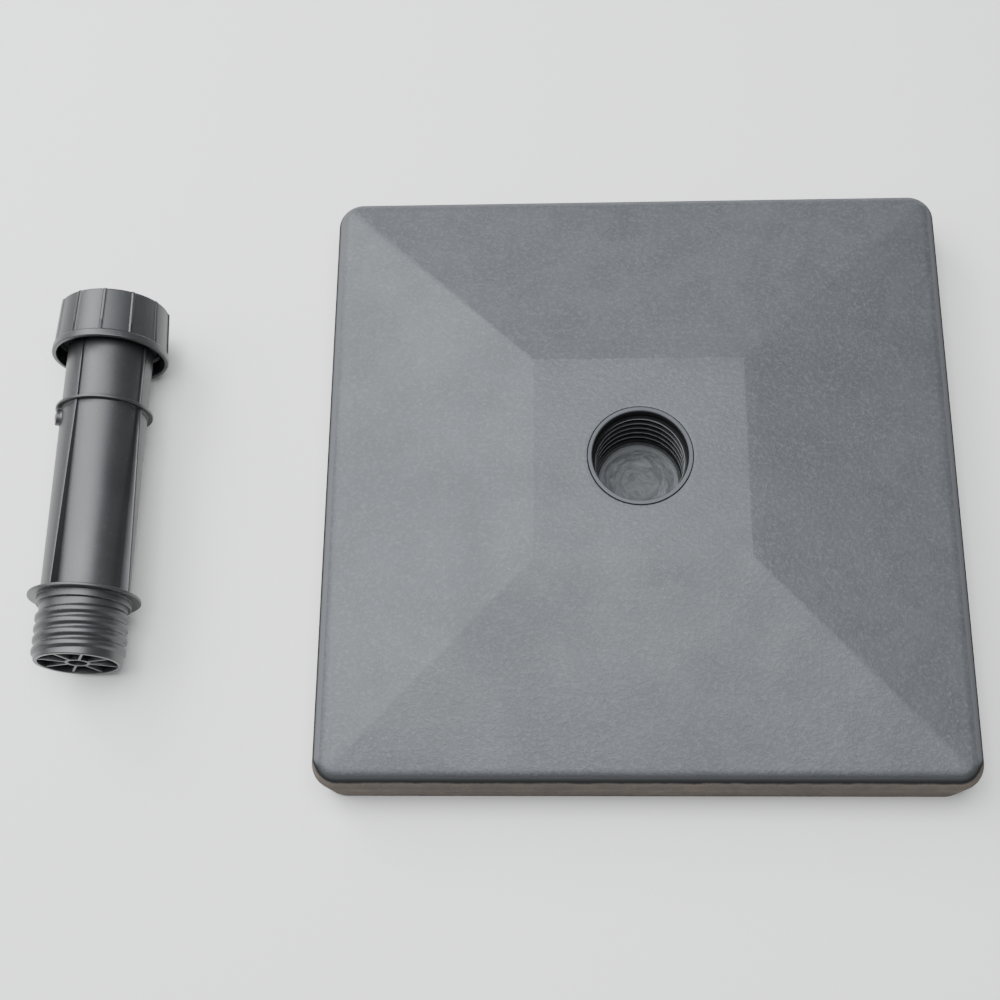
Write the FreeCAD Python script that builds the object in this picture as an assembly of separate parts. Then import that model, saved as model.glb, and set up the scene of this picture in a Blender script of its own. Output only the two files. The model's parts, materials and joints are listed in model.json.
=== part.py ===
import FreeCAD, Part
import math
import os

V = FreeCAD.Vector

# ------------------------------------------------------------------ frame
# Millimetres. Origin on the ground under the socket's axis. +X runs along the
# base's edge away from the loose tube, +Y along the other edge, +Z is up.

# ------------------------------------------------------------------ base sizes
edge_half = 225.4            # half the base's side where wall and slope would meet
floor_half = 222.0           # the side walls draw in a little towards the ground
corner_r = 18.0              # plan radius of the four corners
edge_z = 46.0                # height where the side wall meets the sloping top
plateau_half = 74.2          # half the side of the flat square on top
plateau_z = 76.0
edge_round = 16.0            # soft rounding between side wall and slope
eave_steps = 7
hip_r = 3.0                  # the hips are soft, and softest at the outer corners
shell_wall = 3.0
parting_z = 20.0             # the tray and the shell meet half way up the wall
parting_gap = 0.4

# socket in the middle of the base
rim_r = 36.5                 # outside of the insert's visible rim
mouth_r = 33.5               # plain bore the foot's band drops into
mouth_depth = 8.5
mouth_ledge = 0.8            # drop of the sloping ledge below the mouth
socket_crest_r = 31.1        # inner edge of the internal thread
socket_root_r = 32.8
socket_floor_z = 24.0
socket_floor_r = 29.6
socket_base_t = 3.0
insert_skirt_r = 36.0
insert_flange_r = 46.0       # wide flange under the shell, cast into the core
insert_flange_t = 3.0

foot_pitch = 8.0             # coarse thread of the tube's foot
groove_turn = 90.0           # where the socket's groove starts, counted from +X
groove_low = 30.5

# underside
tray_floor_z = 4.0           # underside of the tray's floor, inside its standing rim
rim_width = 7.0
pad_r = 17.0
pad_offset = 165.0
plug_x = 95.0                # filling hole, off the middle
plug_r = 24.0
plug_t = 3.0
tray_screw_offset = 196.0
tray_screw_r = 2.5
tray_screw_head_r = 4.6

core_gap = 0.2

# ------------------------------------------------------------------ tube sizes
# Own axis: z = 0 on the flange's upper face, +z towards the clamping cap.
flange_r = 39.5
flange_t = 2.3
foot_end = -48.0
foot_r = 30.5
foot_crest_r = 32.4
foot_thread_turn = -90.0     # where the ridge starts, counted from the first fin
foot_thread_low = -42.6
foot_thread_high = -12.6
band_r = 33.0                # plain band that centres the tube in the mouth
band_low = -7.5
body_r = 31.0
bore_r = 27.5
web_top = -20.0
web_recess = 0.8
web_t = 1.9
web_count = 8
hub_r = 9.0
hub_bore_r = 6.6

fin_count = 4
fin_t = 2.2
fin_tip_low = 38.3
fin_tip_high = 32.9
ring_z = 140.6
ring_r = 35.1
ring_t = 2.2
rib_r = 32.7
rib_t = 1.6
rib_top = 190.0

# widened, threaded head inside the cap
head_low = 191.0
head_full = 196.5
head_root_r = 36.2
head_crest_r = 37.7
head_thread_low = 197.5
head_thread_high = 211.5
head_top = 212.4
head_bore_r = 33.0
head_seat = 197.6
cap_pitch = 4.0

# boss and screw that hold the guide sleeve
boss_z = 132.6
boss_angle = -45.0           # midway between two fins, seen from the first one
boss_r = 6.2
boss_out = 34.2
screw_head_r = 4.5
screw_head_out = 34.9
screw_shank_r = 2.0

guide_r = 27.3
pole_r = 24.4                # takes poles up to 48 mm
guide_low = 121.0
guide_high = 144.0

# cap nut
cap_low = 184.4
cap_high = 223.8
cap_mouth_r = 42.5
cap_far_r = 40.5
cap_band = 5.0
cap_rib_depth = 0.9
cap_rib_count = 12
cap_rib_w = 2.2
cap_mouth_bore = 39.2
cap_thread_low = 198.6
cap_root_r = 38.1
cap_crest_r = 36.55
cap_ledge = 213.2
cap_lip_r = 25.6

# collet
collet_low = 198.0
collet_high = 219.8
collet_r = 32.7
collet_slots = 8
collet_slot_w = 2.4
collet_slot_low = 204.5
key_r = 34.2
key_w = 6.0
key_top = 204.0

# ------------------------------------------------------------------ where the loose tube lies
tube_x = -391.0              # its axis at the flange
tube_flange_y = -90.2
tube_yaw = 0.46              # degrees off parallel with the base's edge
tube_roll = -22.3            # degrees from straight up to the first fin
cap_rib_turn = 26.8          # the first cap rib, counted from the first fin

lay_tilt = math.degrees(math.asin((cap_mouth_r - flange_r) / cap_low))

os.makedirs("parts", exist_ok=True)


# ------------------------------------------------------------------ helpers
def save(shape, name):
    """Write one piece, as a single clean solid where it is one."""
    shape.exportStep("parts/" + name + ".step")


def cyl(r, z0, z1, x=0.0, y=0.0):
    return Part.makeCylinder(r, z1 - z0, V(x, y, z0))


def box(x0, x1, y0, y1, z0, z1):
    return Part.makeBox(x1 - x0, y1 - y0, z1 - z0, V(x0, y0, z0))


def revolve(points):
    """A closed (radius, z) outline turned about the z axis."""
    wire = Part.makePolygon([V(r, 0, z) for r, z in points + [points[0]]])
    return Part.Face(wire).revolve(V(0, 0, 0), V(0, 0, 1), 360)


def turned(shape, degrees, axis=V(0, 0, 1)):
    copy = shape.copy()
    copy.rotate(V(0, 0, 0), axis, degrees)
    return copy


def thread_ridge(pitch, z0, z1, r_in, w_in, r_out, w_out):
    """A trapezoid swept along a right-hand helix from +X; w_in and w_out are its widths."""
    helix = Part.makeHelix(pitch, z1 - z0, r_in)
    helix.translate(V(0, 0, z0))
    corners = [
        V(r_in, 0, z0 - w_in / 2),
        V(r_out, 0, z0 - w_out / 2),
        V(r_out, 0, z0 + w_out / 2),
        V(r_in, 0, z0 + w_in / 2),
    ]
    profile = Part.makePolygon(corners + [corners[0]])
    return Part.Wire(helix.Edges).makePipeShell([profile], True, True)


def square_wire(half, z, r):
    """A square of half side half at height z, its corners rounded by r."""
    a = half - r
    k = r * math.sqrt(0.5)
    edges = []
    for i in range(4):
        t = i * 90
        p0 = turned_point(V(half, -a, z), t)
        p1 = turned_point(V(half, a, z), t)
        pm = turned_point(V(a + k, a + k, z), t)
        p2 = turned_point(V(a, half, z), t)
        edges.append(Part.makeLine(p0, p1))
        edges.append(Part.Arc(p1, pm, p2).toShape())
    return Part.Wire(edges)


def turned_point(p, degrees):
    c = math.cos(math.radians(degrees))
    s = math.sin(math.radians(degrees))
    return V(p.x * c - p.y * s, p.x * s + p.y * c, p.z)


def drafted_block(half0, z0, half1, z1, r):
    return Part.makeLoft([square_wire(half0, z0, r), square_wire(half1, z1, r)], True, True)


def rounded(shape, radius, wanted):
    """Fillet the edges that wanted accepts; the crisp shape stays if they can't be rounded."""
    edges = [e for e in shape.Edges if wanted(e)]
    try:
        result = shape.makeFillet(radius, edges)
        if result.isValid() and abs(result.Volume) > 0.5 * abs(shape.Volume):
            return result
    except Exception:
        pass
    print("edges left crisp:", len(edges), "radius", radius)
    return shape


# ------------------------------------------------------------------ base
def wall_half(z):
    """Half side of the drafted wall at a height."""
    return floor_half + (edge_half - floor_half) * z / edge_z


def crossing(p, q, r, s):
    """Where the lines pq and rs cross, in the (half side, z) plane."""
    a, b = q[0] - p[0], q[1] - p[1]
    c, d = s[0] - r[0], s[1] - r[1]
    t = ((r[0] - p[0]) * d - (r[1] - p[1]) * c) / (a * d - b * c)
    return (p[0] + a * t, p[1] + b * t)


def inwards(p, q, inset):
    """The line pq moved towards the inside of the base."""
    a, b = q[0] - p[0], q[1] - p[1]
    k = inset / math.hypot(a, b)
    return (p[0] - b * k, p[1] + a * k), (q[0] - b * k, q[1] + a * k)


def base_form(inset, low):
    """The base's outside, moved inwards by inset all round, from height low up."""
    foot, eave, crown = (floor_half, 0.0), (edge_half, edge_z), (plateau_half, plateau_z)
    wall = inwards(foot, eave, inset)
    roof = inwards(eave, crown, inset)
    flat = inwards(crown, (0.0, plateau_z), inset)
    foot = crossing(wall[0], wall[1], (0.0, low), (1.0, low))
    eave = crossing(wall[0], wall[1], roof[0], roof[1])
    crown = crossing(roof[0], roof[1], flat[0], flat[1])
    # the eave is an arc, tangent to the wall and to the slope
    r = max(edge_round - inset, 1.0)
    up = math.atan2(wall[1][1] - wall[0][1], wall[1][0] - wall[0][0])
    over = math.atan2(roof[1][1] - roof[0][1], roof[1][0] - roof[0][0])
    reach = r * math.tan((over - up) / 2)
    start = (eave[0] - reach * math.cos(up), eave[1] - reach * math.sin(up))
    centre = (start[0] - r * math.sin(up), start[1] + r * math.cos(up))
    corner = max(corner_r - inset, 2.0)
    sections = [(foot[0], foot[1], corner)]
    for i in range(eave_steps + 1):
        a = up - math.pi / 2 + (over - up) * i / eave_steps
        half, z = centre[0] + r * math.cos(a), centre[1] + r * math.sin(a)
        sections.append((half, z, corner - (start[0] - half) * 0.35))
    sections.append((crown[0], crown[1], hip_r))
    form = None
    for one, two in zip(sections, sections[1:]):
        piece = Part.makeLoft([square_wire(*one), square_wire(*two)], True, True)
        form = piece if form is None else form.fuse(piece)
    return form


outer = base_form(0.0, 0.0)
inner = base_form(shell_wall, tray_floor_z + shell_wall)

everything = box(-300, 300, -300, 300, parting_z + parting_gap / 2, 120)
shell = outer.common(everything).cut(inner)
shell = shell.cut(cyl(rim_r + 0.25, 50, 90))
# bosses for the tray's screws hang from the slope into the core
screw_spots = []
for sx in (-1, 0, 1):
    for sy in (-1, 0, 1):
        if sx or sy:
            screw_spots.append((sx * tray_screw_offset, sy * tray_screw_offset))
for x, y in screw_spots:
    post = cyl(7.0, parting_z, 60, x, y).common(outer)
    shell = shell.fuse(post)
    shell = shell.cut(cyl(tray_screw_r - 0.3, parting_z - 1, parting_z + 19, x, y))
shell = shell.removeSplitter()
save(shell, "top_shell")

# tray: floor, wall up to the parting line, lip that laps inside the shell
tray_zone = box(-300, 300, -300, 300, 0, parting_z - parting_gap / 2)
tray = outer.common(tray_zone)
tray = tray.cut(drafted_block(wall_half(0) - rim_width, -1, wall_half(0) - rim_width, tray_floor_z, 12.0))
tray = tray.cut(drafted_block(
    wall_half(0) - shell_wall, tray_floor_z + shell_wall,
    wall_half(20) - shell_wall, 60, corner_r - shell_wall))
lip_outer = drafted_block(
    wall_half(10) - shell_wall - 0.2, 10, wall_half(30) - shell_wall - 0.25, 30, corner_r - shell_wall - 0.2)
lip_outer = lip_outer.fuse(drafted_block(
    wall_half(5) - shell_wall + 0.8, 5, wall_half(18) - shell_wall + 0.8, 18, corner_r - shell_wall))
lip = lip_outer.cut(drafted_block(
    wall_half(0) - shell_wall - 2.6, 0, wall_half(0) - shell_wall - 2.6, 60, corner_r - shell_wall - 2.6))
lip = lip.common(box(-300, 300, -300, 300, 6, parting_z + 8))
tray = tray.fuse(lip)
tray = tray.cut(cyl(plug_r, -1, 20, plug_x, 0))
# raised collar round the filling hole
collar = cyl(plug_r + 5.0, tray_floor_z, tray_floor_z + 9.0, plug_x, 0)
tray = tray.fuse(collar.cut(cyl(plug_r, -1, 20, plug_x, 0)))
for x, y in screw_spots:
    tray = tray.fuse(cyl(7.0, tray_floor_z, parting_z - 0.3, x, y))
    tray = tray.cut(cyl(tray_screw_r + 0.3, -1, 40, x, y))
    tray = tray.cut(cyl(tray_screw_head_r + 0.4, -1, tray_floor_z + 4.0, x, y))
for sx in (-1, 1):
    for sy in (-1, 1):
        # a ring keeps each pad in place
        ring = cyl(pad_r + 2.5, 1.2, tray_floor_z + 0.5, sx * pad_offset, sy * pad_offset)
        ring = ring.cut(cyl(pad_r + 0.2, 0, 20, sx * pad_offset, sy * pad_offset))
        tray = tray.fuse(ring)
tray = tray.removeSplitter()
save(tray, "bottom_tray")

# socket insert
top_z = plateau_z
flange_z = top_z - shell_wall - core_gap - insert_flange_t
cup = cyl(insert_skirt_r, socket_floor_z - socket_base_t, top_z - 1)
cup = cup.fuse(cyl(rim_r, flange_z, top_z + 0.6))
cup = cup.fuse(cyl(insert_flange_r, flange_z, flange_z + insert_flange_t))
for i in range(6):
    lug = box(30, insert_flange_r - 2, -1.5, 1.5, socket_floor_z + 2, flange_z + 1)
    cup = cup.fuse(turned(lug, 60 * i + 30))
well = revolve([
    (0, socket_floor_z),
    (socket_floor_r - 2.2, socket_floor_z),
    (socket_floor_r, socket_floor_z + 1.6),
    (socket_crest_r, socket_floor_z + 1.6),
    (socket_crest_r, top_z - mouth_depth - mouth_ledge),
    (mouth_r, top_z - mouth_depth),
    (mouth_r, top_z - 0.6),
    (mouth_r + 0.8, top_z + 0.3),
    (mouth_r + 1.0, top_z + 2.0),
    (0, top_z + 2.0),
])
groove = thread_ridge(
    foot_pitch, groove_low, top_z - mouth_depth + 3.0,
    socket_crest_r - 1.0, 7.4, socket_root_r, 4.4)
insert = cup.cut(well).cut(turned(groove, groove_turn))
insert = rounded(insert, 0.8, lambda e: (
    abs(e.BoundBox.ZMin - (top_z + 0.6)) < 1e-3 and abs(e.BoundBox.XMax - rim_r) < 1e-3))
insert = insert.removeSplitter()
save(insert, "socket_insert")

# concrete core fills what is left inside the shell and the tray
core = base_form(shell_wall + core_gap, tray_floor_z + shell_wall + core_gap)
core = core.cut(drafted_block(240, 0, 240, parting_z + 8.3, 20).cut(
    drafted_block(wall_half(0) - shell_wall - 3.0, 0, wall_half(0) - shell_wall - 3.0, 60, 12)))
core = core.cut(cyl(insert_skirt_r + core_gap, socket_floor_z - socket_base_t - core_gap, 90))
core = core.cut(cyl(insert_flange_r + core_gap, flange_z - core_gap, 90))
for i in range(6):
    slot = box(
        25, insert_flange_r - 2 + core_gap,
        -1.5 - core_gap, 1.5 + core_gap, socket_floor_z + 1.8, 90)
    core = core.cut(turned(slot, 60 * i + 30))
core = core.cut(cyl(plug_r + 5.2, 0, tray_floor_z + 9.2, plug_x, 0))
for x, y in screw_spots:
    core = core.cut(cyl(7.2, 0, 90, x, y))
core = core.removeSplitter()
save(core, "concrete_core")

# filling plug: disc with a skirt and two finger pockets, and its seal
plug = cyl(plug_r - 0.3, tray_floor_z - 1.5, tray_floor_z + 7.5, plug_x, 0)
plug = plug.fuse(cyl(plug_r + 4.0, tray_floor_z - plug_t, tray_floor_z - 1.4, plug_x, 0))
plug = plug.cut(cyl(plug_r - 3.5, tray_floor_z + 2.0, 30, plug_x, 0))
for side in (-1, 1):
    plug = plug.cut(box(plug_x - 9, plug_x + 9, side * 9 - 3, side * 9 + 3, 0, tray_floor_z - 0.5))
save(plug.removeSplitter(), "fill_plug")
seal = cyl(plug_r + 3.4, tray_floor_z - 1.4, tray_floor_z - 0.05, plug_x, 0)
seal = seal.cut(cyl(plug_r - 0.2, 0, 20, plug_x, 0))
save(seal, "fill_plug_seal")

# rubber pads, flush with the standing rim once the base's weight is on them
for name, sx, sy in (
    ("foot_pad_front_left", -1, -1),
    ("foot_pad_front_right", 1, -1),
    ("foot_pad_back_left", -1, 1),
    ("foot_pad_back_right", 1, 1),
):
    x, y = sx * pad_offset, sy * pad_offset
    pad = Part.makeCone(pad_r - 0.8, pad_r, 0.8, V(x, y, 0))
    pad = pad.fuse(cyl(pad_r, 0.8, tray_floor_z - 0.05, x, y))
    pad = pad.cut(cyl(pad_r - 6, -1, 1.2, x, y).cut(cyl(pad_r - 8, -2, 3, x, y)))
    save(pad.removeSplitter(), name)

# eight screws that hold the tray to the shell: pan heads in their counterbores
screws = []
for x, y in screw_spots:
    head_z = tray_floor_z + 3.9
    head = cyl(tray_screw_head_r, head_z - 2.6, head_z, x, y)
    head = head.cut(box(x - 2.6, x + 2.6, y - 0.6, y + 0.6, head_z - 3, head_z - 1.2))
    head = head.cut(box(x - 0.6, x + 0.6, y - 2.6, y + 2.6, head_z - 3, head_z - 1.2))
    shank = cyl(tray_screw_r - 0.4, head_z - 0.1, parting_z + 15, x, y)
    screws.append(head.fuse(shank).removeSplitter())
save(Part.makeCompound(screws), "tray_screws")


# ------------------------------------------------------------------ the loose tube
def lay(shape):
    """From the tube's own axis to where it lies: on the flange's and the cap's rims."""
    s = shape.copy()
    s.rotate(V(0, 0, 0), V(0, 0, 1), -90)
    s.rotate(V(0, 0, 0), V(1, 0, 0), -90)
    # now the tube's axis is +Y and its first fin points straight up
    s.rotate(V(0, 0, 0), V(0, 1, 0), tube_roll)
    s.rotate(V(0, 0, 0), V(1, 0, 0), lay_tilt)
    s.rotate(V(0, 0, 0), V(0, 0, 1), -tube_yaw)
    s.translate(V(tube_x, tube_flange_y, flange_r))
    return s


# stand tube
tube = revolve([
    (bore_r, foot_end),
    (foot_r - 0.8, foot_end),
    (foot_r, foot_end + 0.8),
    (foot_r, band_low),
    (band_r, band_low),
    (band_r, -flange_t),
    (flange_r, -flange_t),
    (flange_r, 0),
    (body_r, 0),
    (body_r, head_low),
    (head_root_r, head_full),
    (head_root_r, head_top),
    (head_bore_r, head_top),
    (head_bore_r, head_seat),
    (bore_r, head_seat - 1.0),
])
# foot thread
ridge = thread_ridge(foot_pitch, foot_thread_low, foot_thread_high, foot_r - 0.8, 6.6, foot_crest_r, 4.0)
tube = tube.fuse(turned(ridge, foot_thread_turn))
# head thread
head_ridge = thread_ridge(
    cap_pitch, head_thread_low + 1.2, head_thread_high - 1.2,
    head_root_r - 0.6, 2.4, head_crest_r, 0.9)
tube = tube.fuse(head_ridge)
# fins, ring and small ribs
for i in range(fin_count):
    a = 360.0 / fin_count * i
    outline = [
        V(body_r - 1.0, 0, -0.5),
        V(fin_tip_low, 0, -0.5),
        V(fin_tip_low, 0, 2.0),
        V(fin_tip_high, 0, ring_z - 1),
        V(body_r - 1.0, 0, ring_z - 1),
    ]
    fin = Part.Face(Part.makePolygon(outline + [outline[0]])).extrude(V(0, fin_t, 0))
    fin.translate(V(0, -fin_t / 2, 0))
    tube = tube.fuse(turned(fin, a))
    rib = box(body_r - 1.0, rib_r, -rib_t / 2, rib_t / 2, ring_z, rib_top)
    tube = tube.fuse(turned(rib, a))
ring = revolve([
    (body_r - 1, ring_z - ring_t / 2),
    (ring_r - 0.3, ring_z - ring_t / 2),
    (ring_r, ring_z - ring_t / 2 + 0.3),
    (ring_r, ring_z + ring_t / 2 - 0.3),
    (ring_r - 0.3, ring_z + ring_t / 2),
    (body_r - 1, ring_z + ring_t / 2),
])
tube = tube.fuse(ring)
# boss with its counterbore and the screw's hole
boss = Part.makeCylinder(boss_r, boss_out - body_r + 2, V(body_r - 2, 0, boss_z), V(1, 0, 0))
hole = Part.makeCylinder(screw_shank_r + 0.2, 30, V(body_r - 15, 0, boss_z), V(1, 0, 0))
sink = Part.makeCylinder(screw_head_r + 0.5, 10, V(body_r + 0.6, 0, boss_z), V(1, 0, 0))
tube = tube.fuse(turned(boss, boss_angle))
tube = tube.cut(turned(hole, boss_angle))
tube = tube.cut(turned(sink, boss_angle))
# webs and hub in the foot: the pole's end stands on them
web_low = foot_end + web_recess
for i in range(web_count):
    web = box(hub_r - 1, bore_r + 1, -web_t / 2, web_t / 2, web_low, web_top)
    tube = tube.fuse(turned(web, 360.0 / web_count * i))
tube = tube.fuse(revolve([
    (hub_bore_r + 0.5, web_low),
    (hub_r - 0.5, web_low),
    (hub_r, web_low + 0.5),
    (hub_r, web_top - 0.5),
    (hub_r - 0.5, web_top),
    (hub_bore_r + 0.5, web_top),
    (hub_bore_r, web_top - 0.5),
    (hub_bore_r, web_low + 0.5),
]))
# keyways that stop the collet turning
for side in (0, 180):
    keyway = box(head_bore_r - 2, key_r + 0.4, -key_w / 2 - 0.35, key_w / 2 + 0.35, head_seat, head_top + 1)
    tube = tube.cut(turned(keyway, side + 45))
tube = tube.removeSplitter()
save(lay(tube), "stand_tube")

# guide sleeve: centres the pole half way up the tube
guide = revolve([
    (pole_r + 1.2, guide_low),
    (guide_r, guide_low),
    (guide_r, guide_high),
    (pole_r + 1.2, guide_high),
    (pole_r, guide_high - 1.6),
    (pole_r, guide_low + 1.6),
])
guide = guide.cut(turned(
    Part.makeCylinder(screw_shank_r - 0.2, 30, V(10, 0, boss_z), V(1, 0, 0)), boss_angle))
save(lay(guide), "guide_sleeve")

# its screw
dome = Part.makeSphere(11.0, V(screw_head_out - 11.0, 0, boss_z))
head = Part.makeCylinder(
    screw_head_r, screw_head_out - body_r - 0.7, V(body_r + 0.7, 0, boss_z), V(1, 0, 0)).common(dome)
for w, d in ((1.1, 5.2), (5.2, 1.1)):
    head = head.cut(box(body_r + 2.2, 40, -w / 2, w / 2, boss_z - d / 2, boss_z + d / 2))
shank = Part.makeCylinder(
    screw_shank_r - 0.25, body_r + 1.0 - pole_r - 0.6, V(pole_r + 0.6, 0, boss_z), V(1, 0, 0))
save(lay(turned(head.fuse(shank).removeSplitter(), boss_angle)), "guide_screw")

# clamping collet: a keyed ring with eight fingers that the cap's cone squeezes
cone_low = cap_ledge + 0.3
cone_high = 217.0
finger_r = 29.6
hook_r = 30.8
collet = revolve([
    (pole_r, collet_low),
    (collet_r, collet_low),
    (collet_r, cone_low),
    (finger_r, cone_high),
    (finger_r, cone_high + 1.0),
    (hook_r, cone_high + 1.0),
    (hook_r, collet_high - 0.6),
    (hook_r - 0.6, collet_high),
    (pole_r + 0.8, collet_high),
    (pole_r, collet_high - 0.8),
])
for i in range(collet_slots):
    slot = box(10, 50, -collet_slot_w / 2, collet_slot_w / 2, collet_slot_low, collet_high + 1)
    collet = collet.cut(turned(slot, 360.0 / collet_slots * (i + 0.5)))
for side in (0, 180):
    key = box(collet_r - 2, key_r, -key_w / 2, key_w / 2, collet_low, key_top)
    collet = collet.fuse(turned(key, side + 45))
save(lay(collet.removeSplitter()), "clamp_collet")


# cap nut
def cap_r(z):
    return cap_mouth_r + (cap_far_r - cap_mouth_r) * (z - cap_low) / (cap_high - cap_low)


band_top = cap_low + cap_band
cap = revolve([
    (cap_mouth_bore + 0.6, cap_low),
    (cap_mouth_r - 0.5, cap_low),
    (cap_mouth_r, cap_low + 0.5),
    (cap_r(band_top), band_top),
    (cap_r(band_top) - cap_rib_depth, band_top + 0.6),
    (cap_far_r - cap_rib_depth, cap_high - 1.4),
    (cap_far_r - cap_rib_depth - 1.4, cap_high),
    (cap_lip_r + 0.8, cap_high),
    (cap_lip_r, cap_high - 0.8),
    (cap_lip_r, collet_high + 0.4),
    (hook_r + 0.5, collet_high + 0.4),
    (hook_r + 0.5, cone_high + 0.7),
    (finger_r + 0.4, cone_high + 0.7),
    (finger_r + 0.4, cone_high + 0.2),
    (collet_r + 0.6, cap_ledge),
    (cap_crest_r, cap_ledge),
    (cap_crest_r, cap_thread_low),
    (cap_mouth_bore, cap_thread_low - 2.6),
    (cap_mouth_bore, cap_low + 0.6),
])
for i in range(cap_rib_count):
    outline = [
        V(40.0, 0, cap_low + 2),
        V(cap_r(cap_low + 2), 0, cap_low + 2),
        V(cap_r(cap_high - 1.2), 0, cap_high - 1.2),
        V(cap_r(cap_high) - 1.4, 0, cap_high),
        V(38.6, 0, cap_high),
    ]
    rib = Part.Face(Part.makePolygon(outline + [outline[0]])).extrude(V(0, cap_rib_w, 0))
    rib.translate(V(0, -cap_rib_w / 2, 0))
    cap = cap.fuse(turned(rib, cap_rib_turn + 360.0 / cap_rib_count * i))
cap_groove = thread_ridge(
    cap_pitch, head_thread_low + 1.2 - cap_pitch, cap_ledge - 2.2,
    cap_crest_r - 0.6, 3.3, cap_root_r, 1.5)
cap = cap.cut(cap_groove)
cap = cap.removeSplitter()
save(lay(cap), "cap_nut")

# ------------------------------------------------------------------ a short account
for name, s in (
    ("top_shell", shell), ("bottom_tray", tray), ("socket_insert", insert), ("concrete_core", core),
    ("stand_tube", tube), ("clamp_collet", collet), ("cap_nut", cap),
):
    print(name, "valid", s.isValid(), "solids", len(s.Solids), "cm3", round(s.Volume / 1000, 1))
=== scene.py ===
import bpy
import json
import math
from mathutils import Matrix, Vector, noise


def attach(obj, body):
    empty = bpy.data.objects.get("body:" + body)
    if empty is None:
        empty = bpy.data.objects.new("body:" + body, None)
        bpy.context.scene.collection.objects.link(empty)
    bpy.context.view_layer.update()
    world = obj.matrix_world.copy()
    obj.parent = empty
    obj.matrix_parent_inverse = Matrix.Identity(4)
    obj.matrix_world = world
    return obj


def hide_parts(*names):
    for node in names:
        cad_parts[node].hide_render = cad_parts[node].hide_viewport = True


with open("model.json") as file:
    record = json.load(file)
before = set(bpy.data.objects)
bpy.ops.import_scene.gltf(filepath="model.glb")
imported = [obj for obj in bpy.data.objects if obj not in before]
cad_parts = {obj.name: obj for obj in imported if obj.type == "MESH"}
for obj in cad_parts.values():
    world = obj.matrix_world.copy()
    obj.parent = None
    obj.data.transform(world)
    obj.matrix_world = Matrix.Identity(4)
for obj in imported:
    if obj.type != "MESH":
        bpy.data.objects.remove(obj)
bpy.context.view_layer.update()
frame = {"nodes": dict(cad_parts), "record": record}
scene = bpy.context.scene
record = frame["record"]
MM = 0.001

# ---------------------------------------------------------------- sizes, in millimetres
# the base: half sides and heights; up to WALL_TOP the walls wear the material with painted brown ground
# reflection and painted shade
EDGE_HALF, FLOOR_HALF, EDGE_Z = 225.4, 222.0, 46.0
CORNER_R, EAVE_R = 18.0, 16.0
CROWN_HALF, CROWN_Z = 74.2, 76.0
PARTING_Z, WALL_TOP = 20.0, 46.2
RIDGE_CORNER_R, RIDGE_WIDENING = 1.5, 2.0
WALL_T, UNEVENNESS = 3.0, 0.25

# the socket, heights from the ground
RIM_R, MOUTH_R, MOUTH_DEPTH, MOUTH_LEDGE = 36.5, 33.5, 8.5, 0.8
WELL_CREST_R, WELL_ROOT_R = 31.1, 32.8
WELL_FLOOR_Z, WELL_FLOOR_R = 24.0, 29.6
INSERT_R, INSERT_LOW, RIM_LOW = 36.0, 21.0, 70.0
FLOOR_HOLE_R = 3.0
FOOT_PITCH = 8.0
GROOVE_LOW, GROOVE_TURN = 30.5, 90.0

# the tube, heights from the top of its flange, so the foot's are below zero
FLANGE_R, FLANGE_T = 39.5, 2.3
FOOT_END, FOOT_R, FOOT_CREST_R = -48.0, 30.5, 32.4
FOOT_THREAD_LOW, FOOT_THREAD_TURN, FOOT_THREAD_TURNS = -42.6, -90.0, 3.75
BAND_R, BAND_LOW = 33.0, -7.5
BODY_R, BORE_R = 31.0, 27.5
WEB_TOP, WEB_LOW, WEB_T, HUB_R, HUB_BORE = -20.0, -47.2, 1.9, 9.0, 6.6
FIN_T, FIN_LOW, FIN_HIGH = 2.2, 38.3, 32.9
RING_Z, RING_R, RING_T = 140.6, 35.1, 2.2
RIB_R, RIB_T, RIB_TOP = 32.7, 1.6, 190.0
HEAD_LOW, HEAD_FULL, HEAD_TOP = 191.0, 196.5, 212.4
HEAD_ROOT, HEAD_CREST, HEAD_BORE, HEAD_SEAT = 36.2, 37.7, 33.0, 197.6
CAP_PITCH, HEAD_THREAD_LOW, HEAD_THREAD_TURNS = 4.0, 198.7, 2.8
THREAD_RUNOUT = 0.10
BOSS_Z, BOSS_R, BOSS_OUT, BOSS_TURN = 132.6, 6.2, 34.2, -45.0
BOSS_HOLE_R, SCREW_HOLE_R = 5.0, 2.2

# the cap nut, in the tube's heights
CAP_LOW, CAP_HIGH, CAP_MOUTH_R, CAP_FAR_R = 184.4, 223.8, 42.5, 40.5
CAP_BAND, CAP_RELIEF, CAP_RIB_W, CAP_RIB_TURN = 5.0, 0.9, 2.2, 26.8
CAP_BORE, CAP_CREST, CAP_ROOT = 39.2, 36.55, 38.1
CAP_THREAD_LOW, CAP_THREAD_FULL, CAP_THREAD_TOP = 196.0, 198.6, 213.2
CAP_EYE_R, CAP_RIBS = 25.6, 12
CAP_JOINT_Z, TUBE_ROLL = 204.0, -22.3

# points round a turned piece
AROUND, CAP_AROUND, HUB_AROUND, BOSS_AROUND = 240, 480, 72, 64


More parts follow.
